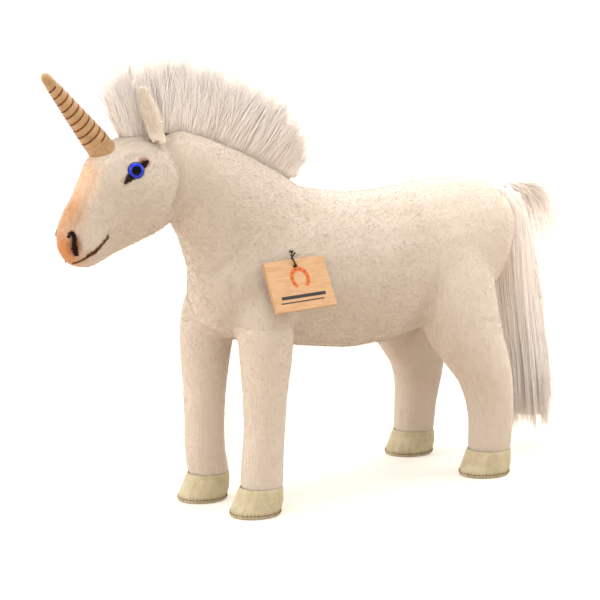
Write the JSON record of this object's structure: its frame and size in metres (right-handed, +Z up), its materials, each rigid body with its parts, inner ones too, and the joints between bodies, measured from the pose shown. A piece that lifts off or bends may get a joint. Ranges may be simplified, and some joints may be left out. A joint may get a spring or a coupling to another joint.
{
  "type": "plush unicorn",
  "caption": "Standing stuffed unicorn sewn from plush panels, with an upright pile mane, a long pile tail, a thread-wound horn, suede hooves, safety eyes and a wooden swing tag.",
  "frame": {"origin": "on the floor, under the middle of the overall box", "axes": "+X forward to the nose, +Y to the unicorn's left, +Z up"},
  "size_m": [0.5196, 0.1388, 0.3602],
  "materials": {
    "plush": "short ivory velour pile on a knitted backing",
    "filling": "firmly packed polyester fibre",
    "pile": "long brushed pile, pale pinkish white",
    "suede": "olive beige suedette",
    "horn_cloth": "tan woven cloth",
    "thread": "brown twisted thread",
    "embroidery": "dark brown machine stitching",
    "glass_eye": "clear dome over a blue iris and a black pupil",
    "washer": "plain moulded",
    "cord": "dark brown twisted cord",
    "tag_wood": "light sanded wood, unvarnished"
  },
  "bodies": {
    "root": {"body_panel_left": "plush", "body_panel_right": "plush", "belly_gusset": "plush", "chest_panel": "plush", "front_left_leg_skin": "plush", "front_right_leg_skin": "plush", "hind_left_quarter_skin": "plush", "hind_right_quarter_skin": "plush", "face_strip": "plush", "cheek_left": "plush", "cheek_right": "plush", "body_filling": "filling", "head_filling": "filling", "rump_filling": "filling", "front_left_leg_filling": "filling", "front_right_leg_filling": "filling", "hind_left_leg_filling": "filling", "hind_right_leg_filling": "filling", "front_left_hoof_wall": "suede", "front_left_hoof_sole": "suede", "front_right_hoof_wall": "suede", "front_right_hoof_sole": "suede", "hind_left_hoof_wall": "suede", "hind_left_hoof_sole": "suede", "hind_right_hoof_wall": "suede", "hind_right_hoof_sole": "suede", "eye_left": "glass_eye", "eye_right": "glass_eye", "eye_washer_left": "washer", "eye_washer_right": "washer", "eye_corner_front_left": "embroidery", "eye_corner_rear_left": "embroidery", "eye_corner_front_right": "embroidery", "eye_corner_rear_right": "embroidery", "nostril_left": "embroidery", "nostril_right": "embroidery", "mouth_left": "embroidery", "mouth_right": "embroidery", "horn_cover": "horn_cloth", "horn_filling": "filling", "horn_thread": "thread", "mane_tape": "plush", "mane_pile": "pile", "forelock_pile": "pile"},
    "ear_left": {"ear_left_outer": "plush", "ear_left_lining": "plush"},
    "ear_right": {"ear_right_outer": "plush", "ear_right_lining": "plush"},
    "tail_stub": {"tail_stub": "plush"},
    "tail": {"tail_tab": "plush", "tail_pile": "pile"},
    "tag_stitch": {"tag_stitch": "cord"},
    "tag": {"tag_cord": "cord", "tag_board": "tag_wood"}
  },
  "joints": [
    {"name": "ear_left_nod", "type": "hinge", "parent": "root", "child": "ear_left", "pos_m": [0.17316, 0.015, 0.287], "axis": [0, 1, 0], "range_deg": [-25, 20], "stiffness_Nm_per_rad": 0.02},
    {"name": "ear_right_nod", "type": "hinge", "parent": "root", "child": "ear_right", "pos_m": [0.17316, -0.015, 0.287], "axis": [0, 1, 0], "range_deg": [-25, 20], "stiffness_Nm_per_rad": 0.02},
    {"name": "tail_wag", "type": "hinge", "parent": "root", "child": "tail_stub", "pos_m": [-0.18934, 0, 0.235], "axis": [1, 0, 0], "range_deg": [-25, 25]},
    {"name": "tail_lift", "type": "hinge", "parent": "tail_stub", "child": "tail", "pos_m": [-0.19374, 0, 0.243], "axis": [0, 1, 0], "range_deg": [0, 45]},
    {"name": "tag_swing", "type": "hinge", "parent": "root", "child": "tag_stitch", "pos_m": [0.07116, 0.041, 0.203], "axis": [0.126, 0.8973, 0.4231], "range_deg": [-22, 22]},
    {"name": "tag_lift", "type": "hinge", "parent": "tag_stitch", "child": "tag", "pos_m": [0.07116, 0.0434, 0.203], "axis": [0.9903, -0.139, 0], "range_deg": [0, 60]}
  ]
}
